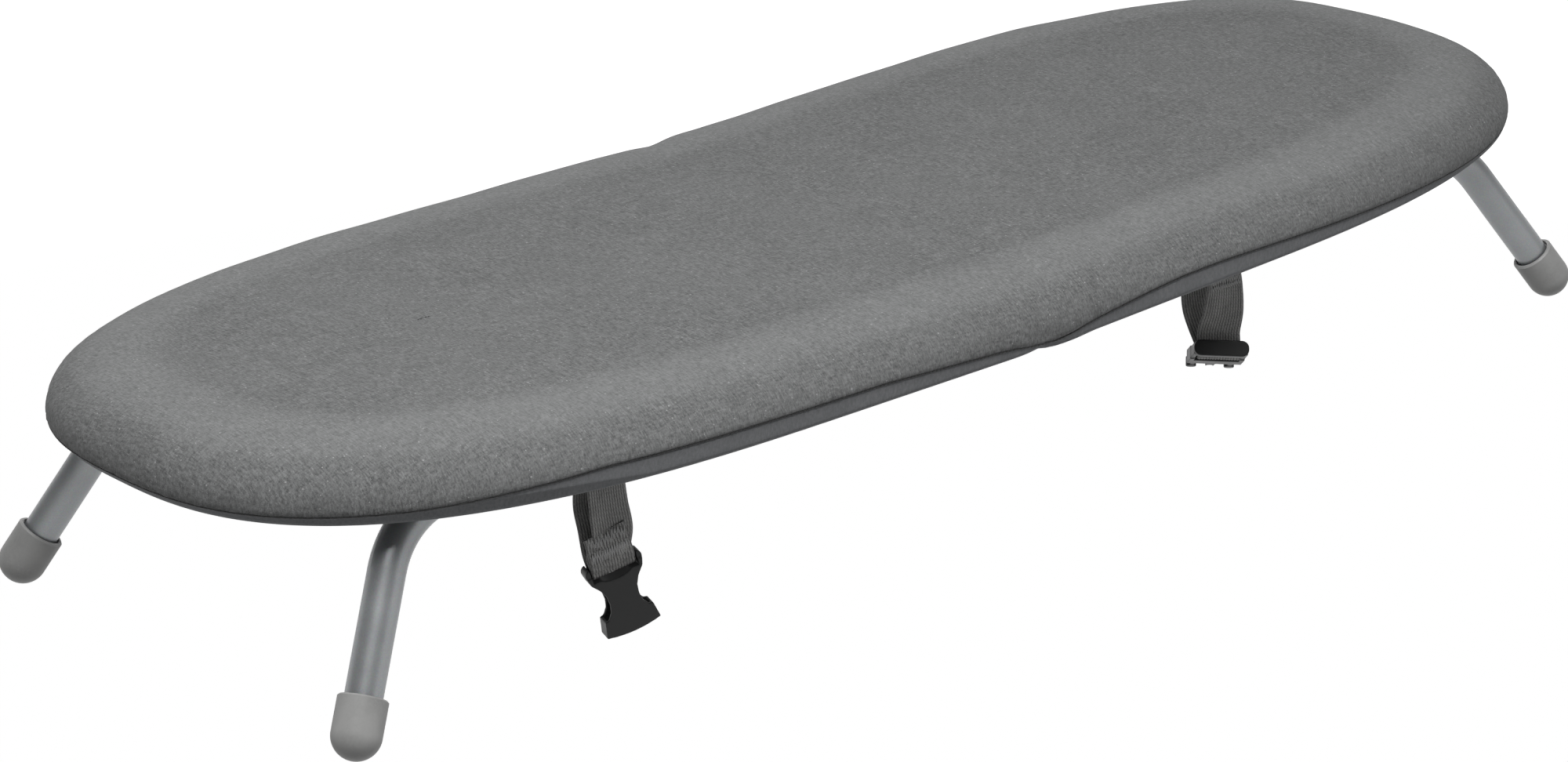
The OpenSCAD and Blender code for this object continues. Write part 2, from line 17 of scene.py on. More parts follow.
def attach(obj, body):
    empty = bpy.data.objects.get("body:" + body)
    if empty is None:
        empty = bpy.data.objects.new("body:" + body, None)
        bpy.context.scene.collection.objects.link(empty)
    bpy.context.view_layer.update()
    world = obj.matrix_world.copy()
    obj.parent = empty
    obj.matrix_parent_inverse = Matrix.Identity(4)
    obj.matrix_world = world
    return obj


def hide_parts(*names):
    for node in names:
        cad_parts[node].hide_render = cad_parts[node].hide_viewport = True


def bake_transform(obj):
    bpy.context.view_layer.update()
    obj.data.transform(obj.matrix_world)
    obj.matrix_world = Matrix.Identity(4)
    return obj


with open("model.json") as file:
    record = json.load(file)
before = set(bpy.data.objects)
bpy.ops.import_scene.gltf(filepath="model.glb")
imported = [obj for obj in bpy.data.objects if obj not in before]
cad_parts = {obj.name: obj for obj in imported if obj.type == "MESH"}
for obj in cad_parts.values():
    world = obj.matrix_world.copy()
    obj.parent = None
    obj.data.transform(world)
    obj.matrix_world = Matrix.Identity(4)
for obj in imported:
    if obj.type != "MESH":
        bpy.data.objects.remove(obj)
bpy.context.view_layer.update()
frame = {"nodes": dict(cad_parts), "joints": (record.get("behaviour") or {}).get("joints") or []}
JOINTS = {j["name"]: j for j in frame["joints"]}

MM = 0.001
DIP = math.radians(1.1)          # each half dips this much towards the fold
FOLD_Z = JOINTS["board_fold"]["pos_m"][2] / MM
FOLD_SOFTNESS = 12.0             # how gently the cover turns over the fold
HALF_LENGTH, HALF_WIDTH = 400.0, 152.0
END, FULLNESS = 272.0, 2.7       # rounded end: its length and how full it is
STRAIGHT = HALF_LENGTH - END
EDGE_H, CROWN, EDGE_ROUND = 5.0, 27.0, 44.0
TOP_H = EDGE_H + CROWN
BACK_TRIM = 3.4                  # the padded back edge is pulled in this much

# Webbing: its width, thickness and number of ribs; the ribbed part of its half width and the depth
# of its grooves are shares of the width and thickness
WEB_WIDTH, WEB_THICK, WEB_RIBS = 20, 1.3, 15
WEB_FACE, RIB_DEPTH = 0.48, 0.2
BAR_REACH = 2.08 + WEB_THICK / 2  # from the middle of a bar to the middle of the webbing round it


# ---------------------------------------------------------------- placing

def board(x, y, h):
    """World points, in metres, of points on the board's cover."""
    x, y, h = np.broadcast_arrays(*(np.asarray(a, float) for a in (x, y, h)))
    reach = np.sqrt(x * x + FOLD_SOFTNESS ** 2)
    return np.stack([
        x * math.cos(DIP) - x / reach * h * math.sin(DIP),
        y,
        FOLD_Z + reach * math.sin(DIP) + h * math.cos(DIP),
    ], -1) * MM


def unit(v):
    """Vectors scaled to length 1."""
    return v / np.maximum(np.linalg.norm(v, axis=-1, keepdims=True), 1e-12)


def rotation(axis, degrees):
    """Matrix of a turn about a named axis."""
    return np.array(Matrix.Rotation(math.radians(degrees), 3, axis))


# ---------------------------------------------------------------- mesh making

def mesh_object(name, points, faces):
    """A smooth-shaded object in the scene."""
    mesh = bpy.data.meshes.new(name)
    mesh.from_pydata([tuple(p) for p in points], [], faces)
    mesh.validate()
    mesh.update()
    mesh.shade_smooth()
    obj = bpy.data.objects.new(name, mesh)
    bpy.context.scene.collection.objects.link(obj)
    return obj


def grid_faces(rows, cols, wrap_cols=False, wrap_rows=False):
    """Faces between the points of a grid, listed row by row."""
    faces = []
    for r in range(rows if wrap_rows else rows - 1):
        for c in range(cols if wrap_cols else cols - 1):
            r2, c2 = (r + 1) % rows, (c + 1) % cols
            faces.append((r * cols + c, r * cols + c2, r2 * cols + c2, r2 * cols + c))
    return faces


def grid_normals(grid):
    """Unit normals of a grid of points whose second axis is a closed loop."""
    along = np.roll(grid, -1, 1) - np.roll(grid, 1, 1)
    across = np.gradient(grid, axis=0)
    return unit(np.cross(along, across))


def apply_modifiers(obj):
    """Replace an object's mesh by the result of its modifiers."""
    dg = bpy.context.evaluated_depsgraph_get()
    mesh = bpy.data.meshes.new_from_object(obj.evaluated_get(dg))
    obj.modifiers.clear()
    obj.data = mesh
    mesh.shade_smooth()
    return obj


def join_shapes(name, shapes):
    """One object from several (points, faces) shapes."""
    points, faces = [], []
    for p, f in shapes:
        start = len(points)
        points.extend(p)
        faces.extend(tuple(i + start for i in face) for face in f)
    return mesh_object(name, points, faces)


def capsule(a, b, radius, sides=6):
    """A thread from a to b with rounded ends, as (points, faces)."""
    a, b = np.asarray(a, float), np.asarray(b, float)
    d = unit(b - a)
    n = unit(np.cross(d, [0.31, 0.83, 0.46]))
    m = np.cross(d, n)
    tip = d * radius * 0.7
    rings = [(a - tip, 0.45), (a, 1.0), ((a + b) / 2, 1.08), (b, 1.0), (b + tip, 0.45)]
    points = [
        c + radius * k * (math.cos(q) * n + math.sin(q) * m)
        for c, k in rings
        for q in (2 * math.pi * i / sides for i in range(sides))
    ]
    faces = grid_faces(len(rings), sides, wrap_cols=True)
    faces.append(tuple(reversed(range(sides))))
    faces.append(tuple(range((len(rings) - 1) * sides, len(rings) * sides)))
    return points, faces


def ribbon(path, widths, thick, profile):
    """A band swept along path, as (points, faces).

    widths are its width vectors, and profile is its section in shares of the width and thickness.
    """
    path, widths = np.asarray(path, float), np.asarray(widths, float)
    along = unit(np.gradient(path, axis=0))
    wide = unit(widths - along * (widths * along).sum(-1, keepdims=True))
    out = np.cross(wide, along)
    size = np.linalg.norm(widths, axis=-1, keepdims=True)
    points = [
        path[i] + wide[i] * u * size[i] + out[i] * v * thick
        for i in range(len(path))
        for u, v in profile
    ]
    cols = len(profile)
    faces = grid_faces(len(path), cols, wrap_cols=True)
    faces.append(tuple(reversed(range(cols))))
    faces.append(tuple(range((len(path) - 1) * cols, len(path) * cols)))
    return points, faces


def web_profile():
    """Section of ribbed webbing: ribs on both faces and rounded selvedges."""
    steps = WEB_RIBS * 4
    face = [
        (WEB_FACE * (2 * i / steps - 1),
         0.5 - RIB_DEPTH * (1 - abs(math.sin(math.pi * WEB_RIBS * i / steps))))
        for i in range(steps + 1)
    ]
    back = [(-u, -v) for u, v in face]
    return face + [(0.5, 0.18), (0.5, -0.18)] + back + [(-0.5, -0.18), (-0.5, 0.18)]


def mark_ribs(obj, profile):
    """Store how high on a rib each point of a band lies, from 0 in a groove to 1 on a rib."""
    on_selvedge = 0.35
    high = [
        on_selvedge if abs(u) > WEB_FACE + 0.005 else min(1.0, max(0.0, 1 - (0.5 - abs(v)) / RIB_DEPTH))
        for u, v in profile
    ]
    rib = obj.data.attributes.new("rib", "FLOAT", "POINT")
    rib.data.foreach_set("value", np.tile(high, len(obj.data.vertices) // len(profile)))
    return obj


def smooth_path(points):
    """Catmull-Rom curve through rows of numbers."""
    per_span = 8
    p = np.asarray(points, float)
    p = np.vstack([2 * p[0] - p[1], p, 2 * p[-1] - p[-2]])
    out = []
    for i in range(1, len(p) - 2):
        for t in np.arange(per_span) / per_span:
            a, b, c, d = p[i - 1:i + 3]
            out.append(0.5 * (2 * b + (c - a) * t + (2 * a - 5 * b + 4 * c - d) * t ** 2
                              + (3 * b - a - 3 * c + d) * t ** 3))
    out.append(p[-2])
    return np.array(out)


# ---------------------------------------------------------------- materials

class Shader:
    """A small helper that builds a procedural material."""

    def __init__(self, name, **constants):
        self.material = bpy.data.materials.new(name)
        self.material.use_nodes = True
        self.tree = self.material.node_tree
        self.tree.nodes.clear()
        self.bsdf = self.add("ShaderNodeBsdfPrincipled")
        output = self.add("ShaderNodeOutputMaterial")
        self.link(self.bsdf.outputs["BSDF"], output.inputs["Surface"])
        for key, value in constants.items():
            self.bsdf.inputs[key.replace("_", " ")].default_value = value
        self.position = self.add("ShaderNodeTexCoord").outputs["Object"]

    def add(self, kind, **settings):
        node = self.tree.nodes.new(kind)
        for key, value in settings.items():
            setattr(node, key, value)
        return node

    def link(self, a, b):
        self.tree.links.new(a, b)

    def scaled(self, scale, turn=(0, 0, 0)):
        """Places on the object, scaled to cycles a metre and turned by degrees."""
        node = self.add("ShaderNodeMapping")
        node.inputs["Scale"].default_value = scale
        node.inputs["Rotation"].default_value = [math.radians(a) for a in turn]
        self.link(self.position, node.inputs["Vector"])
        return node.outputs["Vector"]

    def noise(self, vector, detail=3.0, rough=0.55):
        node = self.add("ShaderNodeTexNoise")
        node.inputs["Scale"].default_value = 1.0
        node.inputs["Detail"].default_value = detail
        node.inputs["Roughness"].default_value = rough
        self.link(vector, node.inputs["Vector"])
        return node.outputs["Fac"]

    def cells(self, vector, output="Distance"):
        node = self.add("ShaderNodeTexVoronoi", feature="F1")
        node.inputs["Scale"].default_value = 1.0
        self.link(vector, node.inputs["Vector"])
        return node.outputs[output]

    def wave(self, vector, direction="X", scale=1.0, distortion=0.0):
        node = self.add("ShaderNodeTexWave", bands_direction=direction, wave_profile="SIN")
        node.inputs["Scale"].default_value = scale
        node.inputs["Distortion"].default_value = distortion
        self.link(vector, node.inputs["Vector"])
        return node.outputs["Fac"]

    def span(self, value, low, high, to_low=0.0, to_high=1.0):
        """Stretch the range low to high of a value to another range."""
        node = self.add("ShaderNodeMapRange")
        for i, v in zip((1, 2, 3, 4), (low, high, to_low, to_high)):
            node.inputs[i].default_value = v
        self.link(value, node.inputs[0])
        return node.outputs[0]

    def math(self, operation, a, b):
        node = self.add("ShaderNodeMath", operation=operation)
        for socket, v in zip(node.inputs, (a, b)):
            if isinstance(v, (int, float)):
                socket.default_value = v
            else:
                self.link(v, socket)
        return node.outputs[0]

    def blend_colours(self, share, a, b):
        """A mix of two colours, each a tuple or another node's output."""
        node = self.add("ShaderNodeMix", data_type="RGBA", blend_type="MIX")
        if isinstance(share, (int, float)):
            node.inputs[0].default_value = share
        else:
            self.link(share, node.inputs[0])
        for i, v in ((6, a), (7, b)):
            if isinstance(v, tuple):
                node.inputs[i].default_value = (*v, 1.0)
            else:
                self.link(v, node.inputs[i])
        return node.outputs[2]

    def colour(self, value):
        self.link(value, self.bsdf.inputs["Base Color"])

    def roughness(self, value):
        self.link(value, self.bsdf.inputs["Roughness"])

    def bump(self, height, distance_m, strength=1.0, after=None):
        """Raise the surface by a height map, on top of another bump if there is one."""
        node = self.add("ShaderNodeBump")
        node.inputs["Strength"].default_value = strength
        node.inputs["Distance"].default_value = distance_m
        self.link(height, node.inputs["Height"])
        if after is not None:
            self.link(after, node.inputs["Normal"])
        self.link(node.outputs["Normal"], self.bsdf.inputs["Normal"])
        return node.outputs["Normal"]


def grey(level, tint=(1.0, 1.0, 1.0)):
    """A colour from an 8-bit grey level and a tint."""
    c = level / 255
    linear = c / 12.92 if c <= 0.04045 else ((c + 0.055) / 1.055) ** 2.4
    return tuple(linear * t for t in tint)


def heathered_fabric():
    """Brushed grey cloth: dark and light fibres, pale specks, stray hairs, and a painted shoulder highlight.
    """
    s = Shader("heathered_cover", Roughness=0.9, Sheen_Weight=0.05, Sheen_Roughness=0.5,
               Specular_IOR_Level=0.5)
    fibres = s.noise(s.scaled((1500, 300, 500)), 3, 0.6)
    slanted = s.noise(s.scaled((300, 1300, 700), (0, 0, 38)), 3, 0.6)
    fine = s.noise(s.scaled((2300, 1500, 2300), (0, 0, -20)), 2, 0.6)
    grain = s.math("ADD", s.math("MULTIPLY", fibres, 0.45), s.math("MULTIPLY", slanted, 0.3))
    grain = s.math("ADD", grain, s.math("MULTIPLY", fine, 0.25))
    patches = s.noise(s.scaled((75, 55, 90)), 4, 0.62)
    broad = s.noise(s.scaled((16, 20, 20)), 2, 0.5)
    dark, light = grey(78, (0.975, 1.0, 1.0)), grey(142, (0.98, 1.0, 1.0))
    tone = s.blend_colours(s.span(grain, 0.38, 0.62), dark, light)
    tone = s.blend_colours(s.span(patches, 0.36, 0.64, 0.0, 0.2), tone, grey(88, (0.97, 1.0, 1.0)))
    tone = s.blend_colours(s.span(broad, 0.35, 0.65, 0.0, 0.12), tone, grey(140, (0.98, 1.0, 1.0)))
    # Painted highlight: the cloth is paler along the rounded shoulder, where the light falls most fully
    shoulder_highlight_share = s.add("ShaderNodeAttribute", attribute_name="painted_shoulder_highlight").outputs["Fac"]
    tone = s.blend_colours(s.math("MULTIPLY", shoulder_highlight_share, 0.13), tone, grey(190, (0.98, 1.0, 1.0)))
    for size, turn, amount in ((330, 11, 0.45), (230, 52, 0.35)):
        specks = s.span(s.cells(s.scaled((size, size, size), (turn, turn, 0))), 0.07, 0.12, 1.0, 0.0)
        picked = s.span(s.noise(s.scaled((170, 170, 170), (turn, 7, 23)), 1), 0.5, 0.56)
        share = s.math("MULTIPLY", s.math("MULTIPLY", specks, picked), amount)
        tone = s.blend_colours(share, tone, grey(215))
    hair_layers = (
        (31, (820, 95, 300), 0.5),
        (-24, (760, 110, 260), 0.45),
        (78, (900, 85, 280), 0.4),
        (4, (900, 70, 300), 0.5),
    )
    for turn, size, amount in hair_layers:
        hairs = s.span(s.cells(s.scaled(size, (0, 0, turn))), 0.07, 0.13, 1.0, 0.0)
        rare = s.span(s.noise(s.scaled((60, 60, 60), (0, turn, 0)), 2), 0.5, 0.58)
        tone = s.blend_colours(s.math("MULTIPLY", s.math("MULTIPLY", hairs, rare), amount), tone, grey(176))
    s.colour(tone)
    soft = s.bump(s.math("ADD", fine, s.math("MULTIPLY", grain, 1.6)), 0.00018, 0.6)
    s.bump(s.noise(s.scaled((44, 24, 44)), 3, 0.5), 0.0016, 0.3, after=soft)
    return s.material


def band_fabric():
    """Plain smooth cloth of the side band, a little darker and bluer than the cover."""
    s = Shader("side_band_cloth", Roughness=0.86, Sheen_Weight=0.06, Specular_IOR_Level=0.3)
    twill = s.wave(s.scaled((1, 1, 1), (0, 24, 18)), "DIAGONAL", scale=420, distortion=1.2)
    grain = s.noise(s.scaled((900, 900, 500)), 3, 0.6)
    patches = s.noise(s.scaled((60, 60, 60)), 3, 0.5)
    dark, light = grey(125, (0.965, 0.99, 1.035)), grey(146, (0.965, 0.99, 1.03))
    tone = s.blend_colours(s.span(grain, 0.3, 0.7), dark, light)
    tone = s.blend_colours(s.span(patches, 0.35, 0.7, 0.0, 0.25), tone, grey(113, (0.965, 1.0, 1.04)))
    s.colour(tone)
    s.bump(s.math("ADD", s.math("MULTIPLY", twill, 0.25), grain), 0.0001, 0.4)
    return s.material


def thread(name, level, plies_per_m=900):
    """Twisted sewing thread of one grey level."""
    s = Shader(name, Roughness=0.7, Sheen_Weight=0.1)
    ply = s.wave(s.scaled((1, 1, 1), (30, 20, 45)), "X", scale=plies_per_m)
    s.colour(s.blend_colours(ply, grey(level * 0.7), grey(level)))
    s.bump(ply, 0.00008, 0.6)
    return s.material


def webbing_cloth():
    """Woven band: ribs along it, crossed by fine picks; the rib tops are painted pale as highlight and the
    grooves dark as shade.
    """
    s = Shader("ribbed_webbing", Roughness=0.55, Sheen_Weight=0.1, Specular_IOR_Level=0.5)
    rib = s.add("ShaderNodeAttribute", attribute_name="rib").outputs["Fac"]
    lean = s.wave(s.scaled((1, 1, 1), (0, 34, 0)), "X", scale=330, distortion=0.9)
    picks = s.wave(s.scaled((1, 1, 1)), "Z", scale=520, distortion=0.6)
    rib_highlight_patches = s.noise(s.scaled((160, 160, 110)), 3, 0.6)
    grain = s.noise(s.scaled((1700, 1700, 900)), 2, 0.6)
    # Painted highlight and shade: rib tops pale, grooves dark, broken by random patches and the picks
    light = s.math("MULTIPLY", rib, s.span(rib_highlight_patches, 0.3, 0.7, 0.55, 1.0))
    light = s.math("MULTIPLY", light, s.span(picks, 0.0, 1.0, 0.72, 1.0))
    tone = s.blend_colours(light, grey(22, (1.0, 0.99, 0.97)), grey(212, (1.0, 0.99, 0.97)))
    tone = s.blend_colours(s.span(lean, 0.2, 0.9, 0.0, 0.35), tone, grey(50, (1.0, 0.99, 0.97)))
    tone = s.blend_colours(s.span(grain, 0.45, 0.75, 0.0, 0.4), tone, grey(190, (1.0, 0.99, 0.97)))
    s.colour(tone)
    weave = s.math("ADD", s.math("MULTIPLY", lean, 0.3), s.math("MULTIPLY", picks, 0.5))
    s.bump(s.math("ADD", weave, s.math("MULTIPLY", grain, 0.6)), 0.0002, 0.8)
    return s.material


def moulded(name, level, rough, tint=(1, 1, 1), specular=0.5):
    """Moulded plastic with a fine grain and broad patches of tone and gloss."""
    spread, grain_depth_m = 0.08, 0.00004
    s = Shader(name, Specular_IOR_Level=specular)
    fine = s.noise(s.scaled((900, 900, 900)), 3, 0.6)
    broad = s.noise(s.scaled((55, 55, 55)), 3, 0.5)
    dark, light = grey(level * (1 - spread), tint), grey(level * (1 + spread), tint)
    tone = s.blend_colours(s.span(broad, 0.3, 0.7), dark, light)
    tone = s.blend_colours(s.span(fine, 0.35, 0.7, 0.0, 0.35), tone, light)
    s.colour(tone)
    s.roughness(s.span(broad, 0.3, 0.7, rough - 0.06, rough + 0.06))
    s.bump(fine, grain_depth_m, 0.5)
    return s.material


def silver_paint(name, level, rough, metal=0.55, tint=(0.985, 1.0, 1.015)):
    """Silver paint with metal flakes and slight orange peel."""
    orange_peel_m = 0.00003
    s = Shader(name, Metallic=metal, Specular_IOR_Level=0.5, Coat_Weight=0.12, Coat_Roughness=0.35)
    flake = s.cells(s.scaled((2600, 2600, 2600)), output="Color")
    peel = s.noise(s.scaled((700, 700, 700)), 2, 0.5)
    broad = s.noise(s.scaled((40, 40, 40)), 3, 0.55)
    tone = s.blend_colours(s.span(broad, 0.3, 0.7), grey(level * 0.96, tint), grey(level * 1.04, tint))
    tone = s.blend_colours(0.06, tone, flake)
    s.colour(tone)
    s.roughness(s.span(broad, 0.3, 0.7, rough - 0.04, rough + 0.05))
    s.bump(peel, orange_peel_m, 0.4)
    return s.material


def bare_steel(name):
    """Bright steel, faintly brushed and spotted."""
    level, rough = 176, 0.32
    s = Shader(name, Metallic=0.92)
    brushed = s.noise(s.scaled((2200, 180, 700)), 3, 0.6)
    spots = s.noise(s.scaled((120, 120, 120)), 4, 0.6)
    tone = s.blend_colours(s.span(brushed, 0.3, 0.7), grey(level * 0.94), grey(level * 1.04))
    stain = grey(level * 0.8, (1.0, 0.97, 0.92))
    s.colour(s.blend_colours(s.span(spots, 0.58, 0.75, 0.0, 0.35), tone, stain))
    s.roughness(s.span(brushed, 0.3, 0.7, rough - 0.06, rough + 0.1))
    s.bump(brushed, 0.00003, 0.4)
    return s.material


def open_foam():
    """Pale foam with open cells."""
    s = Shader("pad_foam", Roughness=0.95, Subsurface_Weight=0.05)
    cells = s.cells(s.scaled((900, 900, 900)))
    dark, light = grey(170, (1.0, 0.98, 0.9)), grey(226, (1.0, 0.985, 0.92))
    s.colour(s.blend_colours(s.span(cells, 0.1, 0.7), dark, light))
    s.bump(cells, 0.0004, 0.9)
    return s.material


# ---------------------------------------------------------------- the board's outline

def outline_samples():
    """Points round the board's edge, how far round each lies, and the whole way round.

    A point is (base x, share of the end's length, share of the half width).
    """
    spacing = 2.2
    t = np.radians(np.linspace(-90, 90, 1501))
    across = np.sign(np.sin(t)) * np.abs(np.sin(t)) ** (2 / FULLNESS)
    along = np.abs(np.cos(t)) ** (2 / FULLNESS)
    side = np.linspace(STRAIGHT, -STRAIGHT, 401)
    rows = np.vstack([
        np.column_stack([np.full_like(t, STRAIGHT), along, across]),
        np.column_stack([side, 0 * side, 1 + 0 * side])[1:-1],
        np.column_stack([np.full_like(t, -STRAIGHT), -along[::-1], across[::-1]]),
        np.column_stack([side[::-1], 0 * side, -1 + 0 * side])[1:],
    ])
    xy = np.column_stack([rows[:, 0] + END * rows[:, 1], HALF_WIDTH * rows[:, 2]])
    run = np.concatenate([[0], np.cumsum(np.linalg.norm(np.diff(xy, axis=0), axis=1))])
    count = int(run[-1] / spacing)
    at = np.arange(count) * run[-1] / count
    return np.column_stack([np.interp(at, run, rows[:, i]) for i in range(3)]), at, run[-1]


EDGE, EDGE_RUN, EDGE_LENGTH = outline_samples()
EDGE_X = EDGE[:, 0] + END * EDGE[:, 1]
FRONT = EDGE[:, 2] < 0

# Height of the stitched seam above the cover's lower edge, along the front: (x, height)
SEAM_RISE = [(-400, 1.6), (-330, 3.4), (-255, 8.2), (-180, 8.2), (-108, 7.6), (-59, 5.2), (-35, 4.0),
             (-17, 1.7), (-6, 1.0), (6, 2.2), (22, 4.8), (39, 6.2), (55, 7.6), (76, 8.8), (101, 8.8),
             (190, 5.4), (290, 2.4), (400, 1.6)]
rise_x, rise_h = (np.array(v, float) for v in zip(*SEAM_RISE))
seam_x = np.where(FRONT, EDGE_X, -EDGE_X)
SEAM_H = EDGE_H + np.interp(seam_x, rise_x, rise_h)
for _ in range(3):
    SEAM_H = (np.roll(SEAM_H, 1) + 2 * SEAM_H + np.roll(SEAM_H, -1)) / 4


def edge_xy(inset):
    """Plan position of every edge sample moved inwards; inset may differ from sample to sample."""
    trim = BACK_TRIM * np.clip(EDGE[:, 2], 0, 1) * (1 - inset / HALF_WIDTH)
    return EDGE[:, 0] + (END - inset) * EDGE[:, 1], (HALF_WIDTH - inset) * EDGE[:, 2] - trim


def ripples(seed, wavelengths):
    """Smooth random ripples round the edge that meet themselves."""
    rng = random.Random(seed)
    total = np.zeros_like(EDGE_RUN)
    for w in wavelengths:
        turns = max(1, round(EDGE_LENGTH / w))
        round_angle = 2 * math.pi * turns * EDGE_RUN / EDGE_LENGTH
        total += rng.uniform(0.6, 1.0) * np.sin(round_angle + rng.uniform(0, 6.28))
    return total / len(wavelengths)


PUCKERS = ripples(3, (6.7, 8.3, 9.7, 11.9, 15.1)) * (0.65 + 0.35 * ripples(5, (61, 83, 127)))
DENTS = ripples(8, (57, 79, 103, 151))
AT_END = np.clip((np.abs(EDGE_X) - 200) / 130, 0, 1)
NEAR_FOLD = np.exp(-((EDGE_X + np.where(FRONT, 7, -7)) / 26) ** 2)


# The rounded edge of the cloth: its reach inwards, its rise and how full it is
ROUND_REACH, ROUND_RISE, ROUND_FULLNESS = 46.0, 27.5, 2.4
SOFT_RISE, SOFT_REACH = 1.8, 58.0     # the top goes on rising gently inside its rounded edge


def crown_point(k):
    """Inset and height of the rounded edge at angle k."""
    power = 2 / ROUND_FULLNESS
    return (ROUND_REACH * (1 - np.clip(np.cos(k), 0, 1) ** power),
            EDGE_H + ROUND_RISE * np.clip(np.sin(k), 0, 1) ** power)


def top_height(inset):
    """Height of the cloth inside the rounded edge."""
    part = min(1.0, (inset - ROUND_REACH) / SOFT_REACH)
    return EDGE_H + ROUND_RISE + SOFT_RISE * (1 - (1 - part) ** 2)


def cover_grid():
    """Rows of the top cloth, from its turned-in edge at the seam to the ridge along the middle."""
    seam_k = np.arcsin(((SEAM_H - EDGE_H) / ROUND_RISE) ** (ROUND_FULLNESS / 2))
    seam_inset = crown_point(seam_k)[0]
    rows, away = [], []

    def row(inset, h, distance):
        x, y = edge_xy(inset)
        rows.append(board(x, y, h))
        away.append(distance + 0 * x)

    tuck = 0.8
    row(tuck + 2.2 + 0 * seam_k, SEAM_H - 0.1, 0)
    row(tuck + 1.0 + 0 * seam_k, SEAM_H - 0.3, 0)
    row(tuck + 0.2 + 0 * seam_k, SEAM_H + 0.05, 0.3)
    row(tuck - 0.25 + 0 * seam_k, SEAM_H + 0.8, 1.0)
    steps = 26
    for i in range(1, steps + 1):
        k = seam_k + (math.pi / 2 - seam_k) * i / steps
        inset, h = crown_point(k)
        fade = np.clip(1 - i / (0.62 * steps), 0, 1) ** 1.5
        turn = np.clip(1 - i / (0.3 * steps), 0, 1) ** 2
        row(inset - (seam_inset - 0.1) * fade + (tuck - 0.35) * turn, h + 0.8 * fade, 1.0 + 57.0 * i / steps)
    for inset in (48, 51.5, 55.5, 60, 66, 73, 81, 90, 99, 108, 117, 126, 134, 141, 147, 150.6, 151.9):
        row(inset + 0 * seam_k, top_height(inset) + 0 * seam_k, 58.0 + inset - ROUND_REACH)
    return np.array(rows), np.array(away)


def wrinkle(grid, away):
    """Pucker the cloth by the seam, pinch it at the fold, and dent the top a little."""
    normals = grid_normals(grid)
    if normals[-1, :, 2].mean() < 0:
        normals = -normals
    x, y = grid[..., 0] / MM, grid[..., 1] / MM
    strength = 0.5 + 0.9 * AT_END + 0.9 * NEAR_FOLD
    pucker = PUCKERS * strength * np.exp(-away / 12) * np.clip(away / 1.5, 0, 1)
    dents = 0.45 * DENTS * np.exp(-((away - 34) / 24) ** 2)
    crease = -0.9 * np.exp(-(x / 11) ** 2) * np.clip(away / 30, 0.25, 1)
    drape = 0.35 * np.sin(x / 41 + 1.3 * np.sin(y / 37)) * np.sin(y / 29 + 0.7) * np.clip(away / 60, 0, 1)
    fans = 0.75 * NEAR_FOLD * np.sin((x + 0.35 * away) / 4.6 + 1.2)
    fans = fans * np.exp(-away / 26) * np.clip(away / 2, 0, 1)
    return grid + normals * (pucker + dents + crease + drape + fans)[..., None] * MM


def make_cover_top():
    """The heathered top cloth, in one piece over both halves."""
    grid, away = cover_grid()
    grid = wrinkle(grid, away)
    rows, cols = grid.shape[:2]
    faces = [face[::-1] for face in grid_faces(rows, cols, wrap_cols=True)]
    obj = mesh_object("cover_top_cloth", grid.reshape(-1, 3), faces)
    # Share of the painted shoulder highlight: a band over the rounded edge, where the light falls most fully
    painted_shoulder_highlight = obj.data.attributes.new("painted_shoulder_highlight", "FLOAT", "POINT")
    painted_shoulder_highlight.data.foreach_set("value", np.exp(-((away - 45) / 15) ** 4).ravel())
    close_ridge(obj)
    return obj


def close_ridge(obj):
    """Join the two sides of the cloth along the middle, where the last rows meet."""
    ridge_m, gap_m, rim_m = 0.0016, 0.0009, 0.004
    bm = bmesh.new()
    bm.from_mesh(obj.data)
    bmesh.ops.remove_doubles(bm, verts=[v for v in bm.verts if abs(v.co.y) < ridge_m], dist=gap_m)
    rim = [e for e in bm.edges if e.is_boundary and all(abs(v.co.y) < rim_m for v in e.verts)]
    if rim:
        bmesh.ops.holes_fill(bm, edges=rim, sides=0)
    bmesh.ops.recalc_face_normals(bm, faces=bm.faces)
    bm.to_mesh(obj.data)
    bm.free()
    obj.data.shade_smooth()


